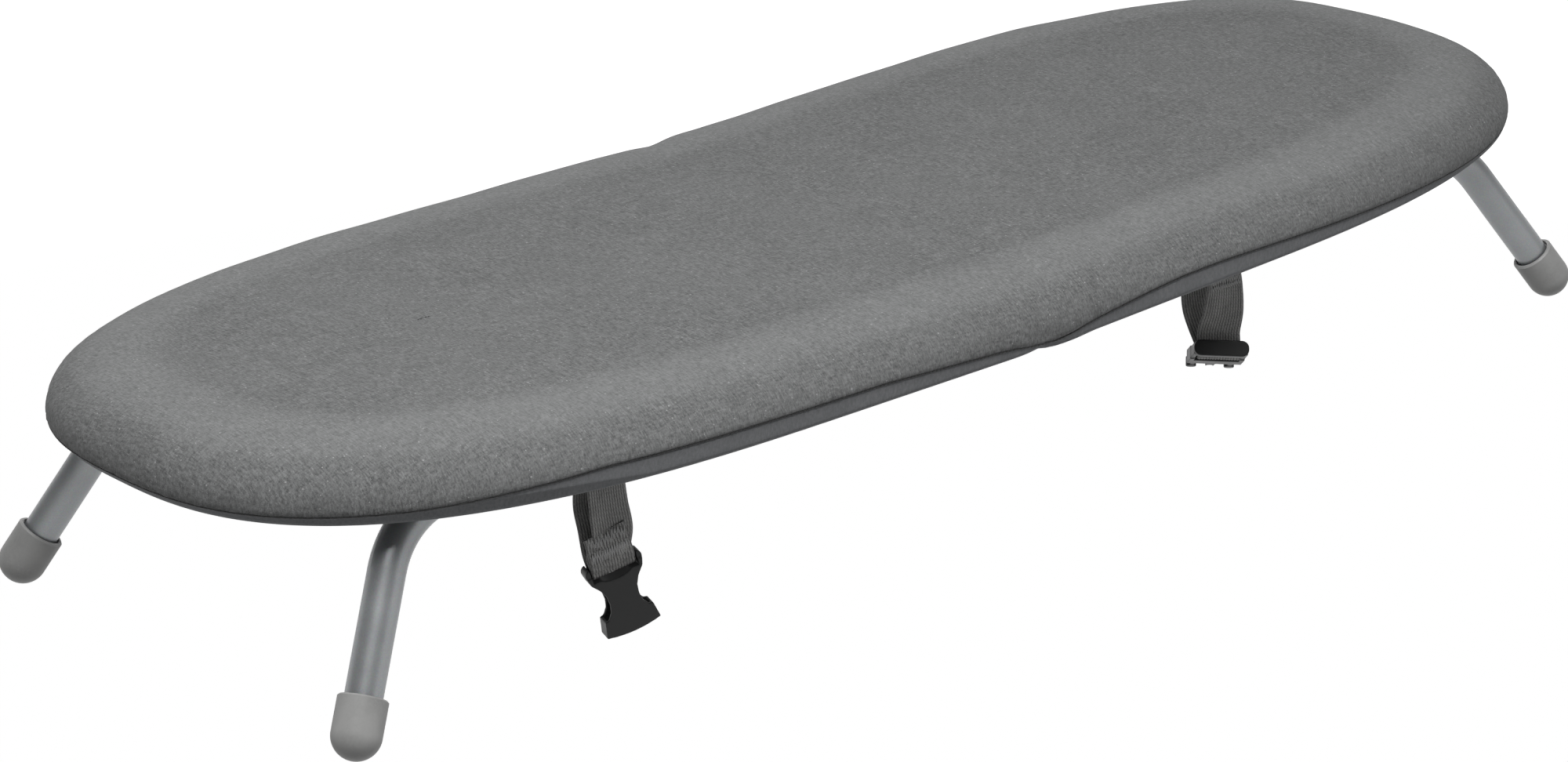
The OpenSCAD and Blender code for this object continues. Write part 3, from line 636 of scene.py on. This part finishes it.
def make_band():
    """The plain side band below the seam and the hem turned under the rim, gathered at its inner edge."""
    pinch = 2.0 * np.exp(-((EDGE_X + np.where(FRONT, 12, -12)) / 7) ** 2)
    left_end = np.clip((-EDGE_X - 235) / 90, 0, 1)
    low = EDGE_H - 0.8 + pinch + (SEAM_H - EDGE_H - 0.3) * left_end
    span = SEAM_H - low
    gather = ripples(21, (8.3, 10.1, 12.7, 14.9)) * (0.55 + 0.45 * ripples(23, (47, 71)))
    reach = np.clip((np.abs(EDGE_X) - 6) / 16, 0.12, 1)
    wave = 0.22 * PUCKERS
    rows = []

    def row(inset, h):
        x, y = edge_xy(inset)
        rows.append(board(x, y, h))

    row(3.0 + 0 * low, SEAM_H - 0.25)
    row(1.8 + 0 * low, SEAM_H - 0.55)
    row(1.35 - wave, SEAM_H - 0.12 * span - 0.4)
    for part in (0.3, 0.5, 0.7, 0.86):
        row(1.35 + 0.2 * part - wave * (1 - part), SEAM_H - part * span)
    row(1.7 + 0 * low, low + 0.25)
    row(2.2 + 0 * low, low - 0.25)
    row(3.0 + 0 * low, np.minimum(low - 0.7, 3.2 + pinch + left_end))
    for inset in (4.4, 6.2, 8.2, 10.5, 13.0, 15.3, 17.2):
        part = inset / 17.2
        row(3.0 + (inset - 3.0) * reach,
            2.75 - 0.55 * min(1, inset / 6) + pinch * (1 - part) + 0.75 * (gather - 0.6) * part ** 2)
    row(3.0 + (17.6 - 3.0) * reach, 3.0 + 0.5 * gather * reach)
    row(3.0 + (15.0 - 3.0) * reach, 3.05 + 0 * gather)
    grid = np.array(rows)
    return mesh_object("cover_side_band", grid.reshape(-1, 3), grid_faces(*grid.shape[:2], wrap_cols=True))


def make_seam():
    """Dark stitches sunk in the seam, each a short thread."""
    x, y = edge_xy(1.15 + 0 * SEAM_H)
    line = board(x, y, SEAM_H - 0.3)
    cols = len(line)
    rng = random.Random(11)
    shapes = []
    for i in range(cols):
        a, b = line[i], line[(i + 1) % cols]
        shift = Vector((0, 0, rng.uniform(-0.12, 0.12) * MM))
        shapes.append(capsule(a + (b - a) * 0.02 + np.array(shift), a + (b - a) * 0.86, 0.36 * MM))
    return join_shapes("seam_stitches", shapes)


def make_elastic(side):
    """Ribbed elastic sewn along the hem's inner edge on one half, gathered with it."""
    fold_gap = 9
    keep = EDGE_X * side > fold_gap
    start = next(i for i in range(len(EDGE_X)) if keep[i] and not keep[i - 1])
    count = int(keep.sum())
    index = (start + np.arange(count)) % len(EDGE_X)
    gather = ripples(21, (8.3, 10.1, 12.7, 14.9))[index]
    rows = []
    section = ((17.4, 2.75), (17.6, 2.3), (18.6, 2.15), (20.4, 2.3), (22.2, 2.15), (23.4, 2.3),
               (23.6, 2.7), (22.2, 2.95), (20.4, 3.0), (18.6, 2.95))
    for inset, h in section:
        x, y = edge_xy(inset)
        part = 0.5 + 0.5 * (h < 2.5)
        rows.append(board(x[index], y[index], h + 0.45 * part * (gather - 0.6)))
    grid = np.array(rows)
    n, m = grid.shape[:2]
    faces = grid_faces(n, m, wrap_rows=True)
    faces.append(tuple(r * m for r in range(n)))
    faces.append(tuple(r * m + m - 1 for r in reversed(range(n))))
    return mesh_object(("left" if side < 0 else "right") + "_hem_elastic_band", grid.reshape(-1, 3), faces)


def make_pad():
    """The foam under the cloth, from the tray up, continuous over the fold."""
    step = 5
    picks = np.arange(0, len(EDGE), step)
    rows = []

    def row(inset, h):
        x, y = edge_xy(inset + 0 * EDGE_X)
        rows.append(board(x, y, h)[picks])

    base, shrink = 17.15, 3.2   # height of its underside; how far it lies inside the cover
    start = math.asin((base - EDGE_H) / (CROWN - shrink))
    first = shrink + EDGE_ROUND * (1 - math.cos(start))
    for inset in (150.5, 120, 90, 60, 35, 18):
        row(inset, base)
    row(first + 0.6, base)
    for i in range(9):
        k = start + (math.pi / 2 - start) * i / 8
        row(shrink + EDGE_ROUND * (1 - math.cos(k)), EDGE_H + (CROWN - shrink) * math.sin(k))
    for inset in (60, 80, 105, 130, 150.5):
        row(inset, TOP_H - shrink)
    grid = np.array(rows)
    obj = mesh_object("foam_pad", grid.reshape(-1, 3), grid_faces(*grid.shape[:2], wrap_cols=True))
    bm = bmesh.new()
    bm.from_mesh(obj.data)
    rim = [e for e in bm.edges if e.is_boundary]
    bmesh.ops.remove_doubles(bm, verts=list({v for e in rim for v in e.verts}), dist=0.0032)
    bmesh.ops.holes_fill(bm, edges=[e for e in bm.edges if e.is_boundary], sides=0)
    bmesh.ops.recalc_face_normals(bm, faces=bm.faces)
    bm.to_mesh(obj.data)
    bm.free()
    obj.data.shade_smooth()
    return obj


# ---------------------------------------------------------------- straps

def half_frame(side):
    """Turns vectors from a half's own flat frame to the world."""
    return rotation("Y", -side * math.degrees(DIP))


class Strap:
    """Places a strap's points from its anchor bar, in the flat frame of its half."""

    def __init__(self, side, joint):
        self.turn = half_frame(side)
        self.origin = np.array(JOINTS[joint]["pos_m"]) / MM
        self.length = 0.0   # metres of webbing laid so far

    def world(self, p):
        return (self.origin + np.asarray(p, float) @ self.turn.T) * MM

    def vector(self, v):
        return np.asarray(v, float) @ self.turn.T * MM

    def band(self, rows, width, thick, profile):
        """rows are (x, y, z, turn of the band about the vertical in degrees, roll in degrees)."""
        p = smooth_path(rows)
        self.length += float(np.linalg.norm(np.diff(p[:, :3], axis=0), axis=1).sum()) * MM
        yaw, roll = np.radians(p[:, 3]), np.radians(p[:, 4])
        wide = np.column_stack([np.cos(yaw) * np.cos(roll), np.sin(yaw) * np.cos(roll), -np.sin(roll)])
        return ribbon(self.world(p[:, :3]), self.vector(wide * width), thick * MM, profile)


def zigzag(strap, centre, wide, up, width, height, count, radius, seed):
    """A zigzag row of hand-loose stitches across a band, in the strap's frame."""
    centre, wide, up = (np.asarray(v, float) for v in (centre, wide, up))
    rng = random.Random(seed)
    corners = [
        centre + wide * width * ((i + rng.uniform(-0.25, 0.25)) / count - 0.5)
        + up * height * ((0.5 if i % 2 else -0.5) + rng.uniform(-0.16, 0.16))
        for i in range(count + 1)
    ]
    return [capsule(strap.world(a), strap.world(b), radius * MM, 5) for a, b in zip(corners, corners[1:])]


def make_left_strap():
    """The strap runs down to the female half, with its cut end sewn over the front."""
    strap = Strap(-1, "left_strap_swing")
    profile = web_profile()
    r = BAR_REACH
    slip, drop, turn, roll = 4.3, 40.4, -20, -16

    def lower(side, out, up):
        """A point beside the buckle's bar: out in front or behind, up from the bar."""
        p = rotation("Z", turn) @ rotation("Y", roll) @ np.array([side, -out, up])
        return (slip + p[0], p[1], p[2] - drop)

    loop = [
        (0.0, -r, 0.4, 0, 0),
        (0.2, -r - 0.4, -6, 0, 0),
        (1.2, -r - 0.5, -15, -2, -5),
        (2.7, -r - 0.4, -25, -8, -11),
        (*lower(0, r + 0.3, 7.5), -17, -15),
        (*lower(0, r + 0.1, 1.8), turn, roll),
        (*lower(0, r * 0.8, -1.6), turn, roll),
        (*lower(0, 0, -r), turn, roll),
        (*lower(0, -r * 0.75, -1.9), turn, roll),
        (*lower(0, -r - 0.2, 1.0), turn, roll),
        (*lower(0, -r - 0.9, 6.5), -17, -14),
        (2.6, r + 2.8, -24, -10, -8),
        (0.8, r + 4.0, -14, -4, -3),
        (0.0, r + 3.4, -6, 0, 0),
        (-0.1, r + 1.4, 0.4, 0, 0),
        (0, 0.9, 2.6, 0, 0),
        (0, -r * 0.7, 2.2, 0, 0),
    ]
    tail = [
        (*lower(0.1, r + 0.5, 0.9), turn, roll),
        (*lower(0.1, r + 1.3, 2.4), turn, roll),
        (*lower(0.2, r + 1.5, 5.0), turn, roll),
        (*lower(0.2, r + 1.7, 9.0), -17, -15),
        (*lower(0.3, r + 1.85, 14.0), -14, -13),
        (*lower(0.3, r + 1.9, 18.0), -12, -12),
    ]
    shapes = [
        strap.band(loop, WEB_WIDTH, WEB_THICK, profile),
        strap.band(tail, WEB_WIDTH - 0.3, WEB_THICK - 0.05, profile),
    ]
    web = mark_ribs(join_shapes("left_strap_web", shapes), profile)
    wide = rotation("Z", -15) @ rotation("Y", -13) @ np.array([1.0, 0, 0])
    up = np.array([-0.2, 0, 1.0])
    stitches = zigzag(strap, lower(0.3, r + 2.65, 14.6), wide, up,
                      width=17.6, height=4.6, count=23, radius=0.26, seed=5)
    stitches += zigzag(strap, lower(0.3, r + 2.45, 7.6), wide, up,
                       width=17.6, height=5.0, count=31, radius=0.24, seed=6)
    return web, join_shapes("left_strap_stitches", stitches), strap.length


def make_right_strap():
    """The strap hangs as a wide loop and passes behind the end bar of the male half."""
    strap = Strap(1, "right_strap_swing")
    profile = web_profile()
    r = BAR_REACH
    drop, turn = 46.2, -40
    nx, ny = math.sin(math.radians(turn)), -math.cos(math.radians(turn))

    def at_bar(out, up):
        """A point beside the buckle's bar: out in front or behind, up from the bar."""
        return (nx * out, ny * out, up - drop)

    loop = [
        (0, -r, 0.4, 0, 0),
        (0.1, -r - 0.9, -5, -4, 0),
        (-0.1, -r - 1.5, -14, -13, 1),
        (-0.8, -r - 1.2, -25, -26, 3),
        (*at_bar(r + 0.4, 12), -36, 4),
        (*at_bar(r + 0.1, 6), turn, 5),
        (*at_bar(r, 0.5), turn, 5),
        (*at_bar(r * 0.62, -2.1), turn, 5),
        (*at_bar(0, -2.75), turn, 5),
        (*at_bar(-r * 0.75, -2.0), turn, 5),
        (*at_bar(-r - 0.4, 0.8), turn, 5),
        (3.2, 5.6, -41, -37, 5),
        (3.0, 9.4, -34, -31, 4),
        (1.6, 12.0, -25, -22, 2),
        (0.6, 12.4, -14, -12, 1),
        (0.2, 9.6, -5, -5, 0),
        (0.0, r + 2.6, 0.6, 0, 0),
        (0, 1.0, 2.7, 0, 0),
        (0, -r * 0.7, 2.2, 0, 0),
    ]
    shapes = [strap.band(loop, WEB_WIDTH, WEB_THICK, profile)]
    web = mark_ribs(join_shapes("right_strap_web", shapes), profile)
    wide = rotation("Z", -8) @ np.array([1.0, 0, 0])
    up = np.array([0, 0.1, 1.0])
    stitches = zigzag(strap, (0.1, -r - 1.9, -8.3), wide, up,
                      width=17.5, height=3.0, count=25, radius=0.26, seed=7)
    stitches += zigzag(strap, (0.0, -r - 2.15, -11.2), wide, up,
                       width=17.5, height=2.2, count=27, radius=0.22, seed=8)
    return web, join_shapes("right_strap_stitches", stitches), strap.length


def softened(node, name, voxel, passes):
    """A copy of a moulded CAD solid with its edges rounded as a mould leaves them."""
    obj = bpy.data.objects.new(name, frame["nodes"][node].data.copy())
    bpy.context.scene.collection.objects.link(obj)
    obj.data.materials.clear()
    remesh = obj.modifiers.new("remesh", "REMESH")
    remesh.mode = "VOXEL"
    remesh.voxel_size = voxel * MM
    smooth = obj.modifiers.new("smooth", "SMOOTH")
    smooth.factor = 0.5
    smooth.iterations = passes
    return apply_modifiers(obj)


# ---------------------------------------------------------------- build

LEFT, RIGHT = "left_half", "right_half"


def dress(obj, material):
    """Give an object one material and return it."""
    obj.data.materials.clear()
    obj.data.materials.append(material)
    return obj


cloth = heathered_fabric()
band_cloth = band_fabric()
dark_thread = thread("dark_thread", 38)
pale_thread = thread("pale_thread", 225)
elastic_cloth = thread("elastic_ribs", 52, 500)
web_cloth = webbing_cloth()
buckle_plastic = moulded("buckle_plastic", 36, 0.42, (0.97, 1.0, 1.0), specular=0.28)
cap_plastic = moulded("cap_plastic", 160, 0.5, (1.0, 1.0, 0.985))
saddle_plastic = moulded("saddle_plastic", 96, 0.5)
leg_paint = silver_paint("leg_silver_paint", 150, 0.4, tint=(0.96, 1.0, 1.03))
tray_paint = silver_paint("tray_paint", 150, 0.45, metal=0.3)
steel = bare_steel("bright_steel")
foam = open_foam()

cover = dress(make_cover_top(), cloth)
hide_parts("left_cover", "right_cover")
band = dress(make_band(), band_cloth)
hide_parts("left_hem", "right_hem")
seam = dress(make_seam(), dark_thread)
pad = dress(make_pad(), foam)
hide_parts("left_pad", "right_pad")
for piece in (cover, band, seam, pad):
    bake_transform(piece)

for side, body in ((-1, LEFT), (1, RIGHT)):
    elastic = dress(make_elastic(side), elastic_cloth)
    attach(elastic, body)
    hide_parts(body.replace("half", "hem_elastic"))

strap_makers = {"left": make_left_strap, "right": make_right_strap}
for side, make in strap_makers.items():
    web, stitches, length = make()
    dress(web, web_cloth)
    dress(stitches, pale_thread)
    for piece in (web, stitches):
        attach(piece, side + "_strap")
    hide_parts(side + "_webbing")

for node, body in (("female_buckle", "female_half_buckle"), ("male_buckle", "male_half_buckle")):
    buckle = dress(softened(node, node + "_moulding", voxel=0.24, passes=22), buckle_plastic)
    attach(buckle, body)
    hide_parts(node)

# The last entry whose text is in a CAD node's name gives its finish
FINISHES = (("_leg", leg_paint), ("_tray", tray_paint), ("foot_cap", cap_plastic), ("end_plug", cap_plastic),
            ("saddle", saddle_plastic), ("rivets", steel), ("leaf", steel), ("pin", steel), ("anchor", steel))
for name, node in frame["nodes"].items():
    if node.hide_render:
        continue
    finish = steel if "rivets" in name else next(m for key, m in reversed(FINISHES) if key in name)
    node.data.materials.clear()
    node.data.materials.append(finish)


# ---------------------------------------------------------------- floor, light and camera

def make_floor():
    """A white floor that curves up to a low wall all round, a long way from the board.

    It lies low enough that the half that swings down as the board folds stays above it.
    A ring is (radius, height), in metres.
    """
    low = -0.22
    rings = [(1.0, low), (3.4, low), (4.6, low + 0.06), (5.6, low + 0.3), (6.3, low + 0.8), (6.6, low + 1.5)]
    sides = 96
    points = [
        (r * math.cos(2 * math.pi * i / sides), r * math.sin(2 * math.pi * i / sides), z)
        for r, z in rings
        for i in range(sides)
    ]
    faces = grid_faces(len(rings), sides, wrap_cols=True) + [tuple(range(sides))]
    obj = mesh_object("floor", points, faces)
    s = Shader("pale_floor", Roughness=0.9, Specular_IOR_Level=0.1)
    s.bsdf.inputs["Base Color"].default_value = (0.3, 0.3, 0.3, 1)
    s.bsdf.inputs["Emission Color"].default_value = (1, 1, 1, 1)
    s.bsdf.inputs["Emission Strength"].default_value = 1.0
    obj.visible_diffuse = False
    dress(obj, s.material)


def area_light(name, place, target, size, power):
    """A white rectangular light that points at target; place, target and size are in metres."""
    data = bpy.data.lights.new(name, "AREA")
    data.shape = "RECTANGLE"
    data.size, data.size_y = size
    data.energy = power
    obj = bpy.data.objects.new(name, data)
    obj.location = place
    obj.rotation_euler = (Vector(target) - Vector(place)).to_track_quat("-Z", "Y").to_euler()
    bpy.context.scene.collection.objects.link(obj)


make_floor()
area_light("key_softbox", (-0.5, -0.56, 1.7), (0, 0, 0.08), (0.9, 0.9), 28.5)
area_light("strip_softbox", (1.0, -1.7, 0.75), (0, 0, 0.05), (0.25, 1.1), 2)
area_light("back_fill", (0.7, 1.7, 0.9), (0, 0, 0.05), (0.8, 0.8), 5)

# Weak light from all round, twice as strong from below as from above
world = bpy.data.worlds.new("studio")
world.use_nodes = True
tree = world.node_tree
where = tree.nodes.new("ShaderNodeTexCoord")
split = tree.nodes.new("ShaderNodeSeparateXYZ")
ramp = tree.nodes.new("ShaderNodeMapRange")
for socket, value in zip(ramp.inputs[1:5], (-0.3, 0.3, 0.2, 0.1)):
    socket.default_value = value
tree.links.new(where.outputs["Generated"], split.inputs[0])
tree.links.new(split.outputs["Z"], ramp.inputs[0])
tree.links.new(ramp.outputs[0], tree.nodes["Background"].inputs["Strength"])
tree.nodes["Background"].inputs["Color"].default_value = (1, 1, 1, 1)
bpy.context.scene.world = world
bpy.context.scene.view_settings.view_transform = "Standard"

camera = bpy.data.objects.new("camera", bpy.data.cameras.new("camera"))
bpy.context.scene.collection.objects.link(camera)
camera.data.sensor_width = 36
camera.data.lens = 103.11
camera.data.clip_end = 50
azimuth, elevation = math.radians(-41.359), math.radians(21.718)
level = math.cos(elevation)
back = Vector((math.sin(azimuth) * level, -math.cos(azimuth) * level, math.sin(elevation)))
target_m, distance_m = Vector((0.0149, 0.0542, 0.0042)), 2.1591
camera.location = target_m + back * distance_m
right = Vector((0.7447, -0.6671, -0.0218)).normalized()   # level but for a small roll
axes = Matrix((right, back.cross(right), back)).transposed()
camera.matrix_world = Matrix.Translation(camera.location) @ axes.to_4x4()
bpy.context.scene.camera = camera
